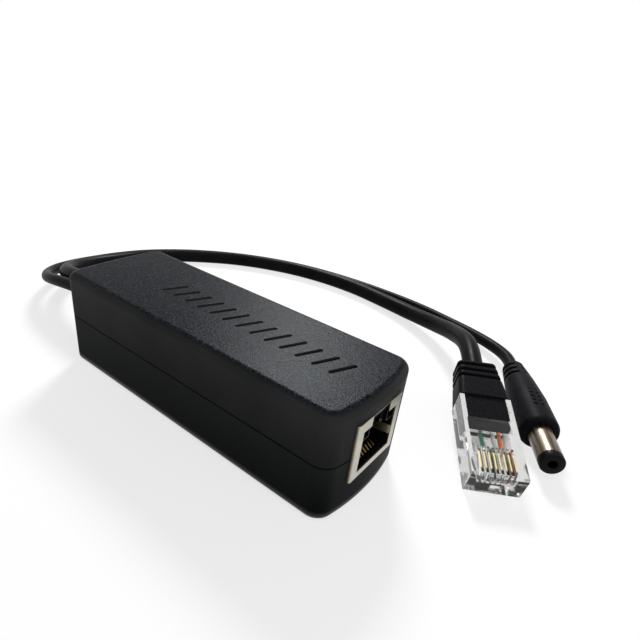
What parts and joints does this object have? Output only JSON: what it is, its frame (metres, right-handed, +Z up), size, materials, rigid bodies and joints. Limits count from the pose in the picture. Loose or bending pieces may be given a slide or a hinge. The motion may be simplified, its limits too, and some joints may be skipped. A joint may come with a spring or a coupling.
{
  "type": "poe splitter",
  "caption": "Inline splitter for network cabling: a small black housing with a shielded network jack, and two short leads that end in a clear network plug and a coaxial power plug.",
  "frame": {"origin": "under the middle of the housing, on the surface it stands on", "axes": "+X along the housing, out of the network jack; +Y to the side on which the leads lie; +Z up"},
  "size_m": [0.1709, 0.1063, 0.025],
  "materials": {
    "housing": "finely sparked matte black with satin sides",
    "tinned_sheet": "tinned, slightly warm",
    "jack_plastic": "smooth black",
    "gold_contacts": "gold plated",
    "board": "green solder mask",
    "package": "moulded epoxy",
    "ferrite": "ground ferrite",
    "winding_tape": "yellow tape",
    "can": "sleeved can",
    "ceramic": "fired ceramic",
    "white_insulation": "smooth",
    "red_insulation": "smooth",
    "green_insulation": "smooth",
    "orange_insulation": "smooth",
    "lead_jacket": "satin black jacket",
    "moulded_boot": "satin black moulding",
    "clear_plastic": "clear moulding",
    "nickel": "nickel plated"
  },
  "bodies": {
    "root": {"lower_shell": "housing", "upper_shell": "housing", "jack_shield": "tinned_sheet", "jack_insert": "jack_plastic", "jack_contacts": "gold_contacts", "circuit_board": "board", "lan_transformer": "package", "bridge_rectifiers": "package", "power_controller": "package", "output_controller": "package", "transformer_core": "ferrite", "transformer_bobbin": "package", "transformer_winding": "winding_tape", "input_capacitor": "can", "output_capacitor": "can", "output_choke": "ferrite", "output_diode": "package", "chip_capacitors": "ceramic", "cable_tie": "white_insulation", "net_cores": "white_insulation", "power_core_plus": "red_insulation", "power_core_minus": "lead_jacket", "net_lead": "lead_jacket", "power_lead": "lead_jacket", "plug_boot": "moulded_boot", "plug_body": "clear_plastic", "plug_contacts": "gold_contacts", "plug_core_green": "green_insulation", "plug_core_orange": "orange_insulation", "plug_cores_white": "white_insulation", "power_plug_grip": "moulded_boot", "power_plug_sleeve": "nickel", "power_plug_tip": "jack_plastic", "power_plug_socket": "gold_contacts"}
  },
  "joints": []
}
